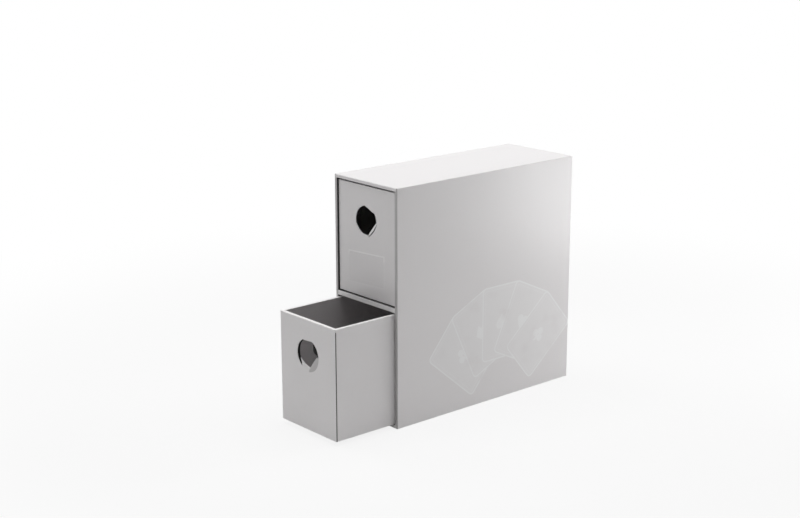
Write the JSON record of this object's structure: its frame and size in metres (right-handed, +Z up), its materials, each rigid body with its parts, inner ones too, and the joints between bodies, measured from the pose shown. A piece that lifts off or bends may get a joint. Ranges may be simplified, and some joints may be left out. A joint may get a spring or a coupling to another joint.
{
  "type": "card box with drawers",
  "caption": "Tall rigid-board card storage box: open-topped drawers with round thumb holes, stacked in a slip case that is open at the front.",
  "frame": {"origin": "centre of the case's underside, on the surface that it stands on", "axes": "+X to the right seen from the front, +Y from the front to the back, +Z up"},
  "size_m": [0.08, 0.2682, 0.206],
  "materials": {
    "white_paper": "gloss-coated white paper",
    "dark_lining": "matt dark grey lining paper",
    "greyboard": "raw solid greyboard",
    "stay_tape": "matt dark gummed paper tape"
  },
  "bodies": {
    "case": {"case_left_board": "greyboard", "case_right_board": "greyboard", "case_top_board": "greyboard", "case_bottom_board": "greyboard", "case_back_board": "greyboard", "shelf_board": "greyboard", "case_corner_stays": "stay_tape", "case_side_wrap": "white_paper", "case_top_sheet": "white_paper", "case_base_sheet": "white_paper", "shelf_edge_strip": "white_paper", "upper_cell_lining": "dark_lining", "lower_cell_lining": "dark_lining"},
    "upper_drawer": {"upper_front_board": "greyboard", "upper_back_board": "greyboard", "upper_left_board": "greyboard", "upper_right_board": "greyboard", "upper_bottom_board": "greyboard", "upper_corner_stays": "stay_tape", "upper_front_sheet": "white_paper", "upper_side_wrap": "white_paper", "upper_base_sheet": "white_paper", "upper_wall_lining": "dark_lining", "upper_floor_lining": "dark_lining"},
    "lower_drawer": {"lower_front_board": "greyboard", "lower_back_board": "greyboard", "lower_left_board": "greyboard", "lower_right_board": "greyboard", "lower_bottom_board": "greyboard", "lower_corner_stays": "stay_tape", "lower_front_sheet": "white_paper", "lower_side_wrap": "white_paper", "lower_base_sheet": "white_paper", "lower_wall_lining": "dark_lining", "lower_floor_lining": "dark_lining"}
  },
  "joints": [
    {"name": "upper_slide", "type": "slide", "parent": "case", "child": "upper_drawer", "axis": [0, -1, 0], "range_m": [0, 0.18]},
    {"name": "lower_slide", "type": "slide", "parent": "case", "child": "lower_drawer", "axis": [0, -1, 0], "range_m": [-0.0636, 0.1164]}
  ]
}
